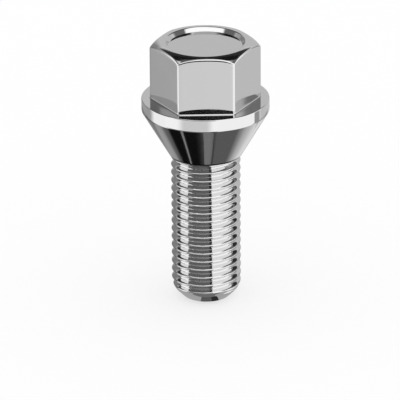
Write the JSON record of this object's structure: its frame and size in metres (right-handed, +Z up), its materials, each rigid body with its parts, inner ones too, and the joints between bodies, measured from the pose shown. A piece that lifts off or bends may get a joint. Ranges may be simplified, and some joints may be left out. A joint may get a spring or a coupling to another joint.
{
  "type": "wheel lug bolt",
  "caption": "Chrome wheel bolt: a hexagon head with a domed, dished crown, a collar and a conical seat that centres the wheel, above a threaded shank with a rounded tip.",
  "frame": {"origin": "centre of the flat face at the tip of the shank, the lowest point of the bolt when it stands head up", "axes": "+Z runs up the bolt's axis from the tip to the head; -Y points squarely out of one flat of the hexagon; +X runs through a corner of the hexagon"},
  "size_m": [0.022, 0.022, 0.0469],
  "materials": {
    "chrome_plate": "polished chrome plate over the whole bolt, with fine handling marks"
  },
  "bodies": {
    "root": {"lug_bolt": "chrome_plate"}
  },
  "joints": []
}
